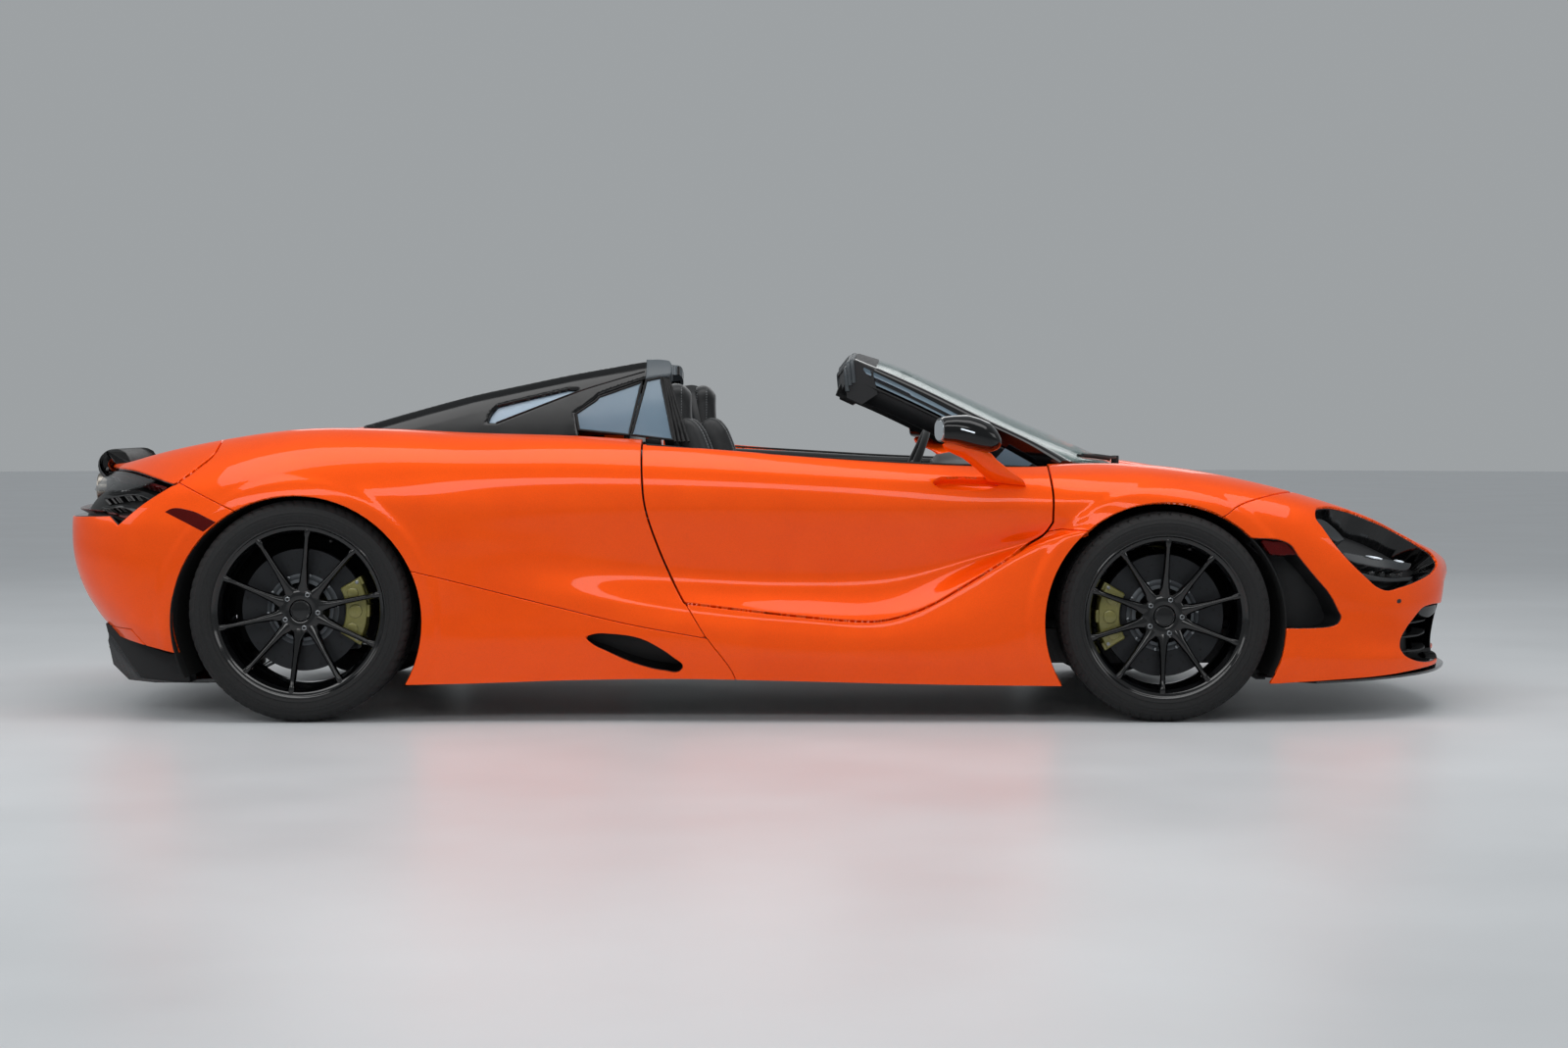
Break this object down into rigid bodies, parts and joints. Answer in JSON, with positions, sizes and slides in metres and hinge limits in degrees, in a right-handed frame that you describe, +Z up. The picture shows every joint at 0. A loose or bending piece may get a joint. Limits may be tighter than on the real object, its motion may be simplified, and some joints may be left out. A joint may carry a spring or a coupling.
{
  "type": "open two-seat supercar",
  "caption": "Open-top mid-engined supercar with flying buttresses, upward swinging doors, lifting bonnet, rear wing airbrake, steered front wheels and turning wheels.",
  "frame": {"origin": "on the ground, at mid-length on the centre plane", "axes": "+X to the nose, +Y to the left side, +Z up"},
  "size_m": [4.5439, 2.117, 1.1573],
  "materials": {
    "black_trim": "matt",
    "body_paint": "gloss metallic orange",
    "carbon_tub": "satin",
    "cast": "as cast",
    "exhaust_steel": "brushed",
    "glass": "clear, slightly tinted",
    "gloss_black": "gloss",
    "knuckle_metal": "satin, olive gold caliper",
    "lamp": "gloss",
    "leather": "matt black with pale stitching",
    "metal": "satin",
    "rim_black": "gloss black",
    "tyre_rubber": "matt"
  },
  "bodies": {
    "body": {"floor_tub": "carbon_tub", "front_structure": "metal", "rear_structure": "metal", "front_bumper": "body_paint", "front_splitter": "black_trim", "front_fenders": "body_paint", "sills": "body_paint", "rear_sills": "body_paint", "rear_quarters": "body_paint", "rear_bumper": "body_paint", "rear_diffuser": "black_trim", "rear_deck": "body_paint", "rear_grille": "black_trim", "headlamps": "lamp", "tail_lamps": "lamp", "tonneau": "gloss_black", "quarter_glass": "glass", "windscreen_frame": "gloss_black", "windscreen": "glass", "dashboard": "black_trim", "centre_console": "black_trim", "seats": "leather", "engine": "cast", "luggage_tub": "black_trim", "exhausts": "exhaust_steel", "front_suspension": "metal", "rear_suspension": "metal", "rear_uprights": "knuckle_metal"},
    "bonnet": {"bonnet": "body_paint", "bonnet_hinges": "metal"},
    "door_left": {"door_left": "body_paint", "mirror_left": "gloss_black"},
    "door_right": {"door_right": "body_paint", "mirror_right": "gloss_black"},
    "wing": {"airbrake_wing": "body_paint"},
    "knuckle_left": {"knuckle_left": "knuckle_metal"},
    "knuckle_right": {"knuckle_right": "knuckle_metal"},
    "wheel_front_left": {"tyre_front_left": "tyre_rubber", "rim_front_left": "rim_black"},
    "wheel_front_right": {"tyre_front_right": "tyre_rubber", "rim_front_right": "rim_black"},
    "wheel_rear_left": {"tyre_rear_left": "tyre_rubber", "rim_rear_left": "rim_black"},
    "wheel_rear_right": {"tyre_rear_right": "tyre_rubber", "rim_rear_right": "rim_black"},
    "steering_wheel": {"steering_wheel": "black_trim"}
  },
  "joints": [
    {"name": "bonnet_hinge", "type": "hinge", "parent": "body", "child": "bonnet", "pos_m": [0.93, 0, 0.775], "axis": [0, -1, 0], "range_deg": [0, 40]},
    {"name": "door_left_hinge", "type": "hinge", "parent": "body", "child": "door_left", "pos_m": [0.94, 0.83, 0.79], "axis": [0.9045, 0.3015, -0.3015], "range_deg": [0, 60]},
    {"name": "door_right_hinge", "type": "hinge", "parent": "body", "child": "door_right", "pos_m": [0.94, -0.83, 0.79], "axis": [-0.9045, 0.3015, 0.3015], "range_deg": [0, 60]},
    {"name": "wing_hinge", "type": "hinge", "parent": "body", "child": "wing", "pos_m": [-1.715, 0, 0.872], "axis": [0, 1, 0], "range_deg": [0, 45]},
    {"name": "steer_left", "type": "hinge", "parent": "body", "child": "knuckle_left", "pos_m": [1.2195, 0.8, 0.325], "axis": [0, 0, 1], "range_deg": [-28, 28]},
    {"name": "steer_right", "type": "hinge", "parent": "body", "child": "knuckle_right", "pos_m": [1.2195, -0.8, 0.325], "axis": [0, 0, 1], "range_deg": [-28, 28]},
    {"name": "wheel_front_left_spin", "type": "hinge", "parent": "knuckle_left", "child": "wheel_front_left", "pos_m": [1.2195, 0.8355, 0.325], "axis": [0, 1, 0], "continuous": true},
    {"name": "wheel_front_right_spin", "type": "hinge", "parent": "knuckle_right", "child": "wheel_front_right", "pos_m": [1.2195, -0.8355, 0.325], "axis": [0, 1, 0], "continuous": true},
    {"name": "wheel_rear_left_spin", "type": "hinge", "parent": "body", "child": "wheel_rear_left", "pos_m": [-1.4505, 0.8115, 0.343], "axis": [0, 1, 0], "continuous": true},
    {"name": "wheel_rear_right_spin", "type": "hinge", "parent": "body", "child": "wheel_rear_right", "pos_m": [-1.4505, -0.8115, 0.343], "axis": [0, 1, 0], "continuous": true},
    {"name": "steering_wheel_turn", "type": "hinge", "parent": "body", "child": "steering_wheel", "pos_m": [0.486, 0.35, 0.742], "axis": [-0.9272, 0, 0.3746], "range_deg": [-350, 350]}
  ],
  "couplings": [
    {"joint": "steer_right", "follows": "steer_left", "ratio": 1},
    {"joint": "steering_wheel_turn", "follows": "steer_left", "ratio": 12}
  ]
}
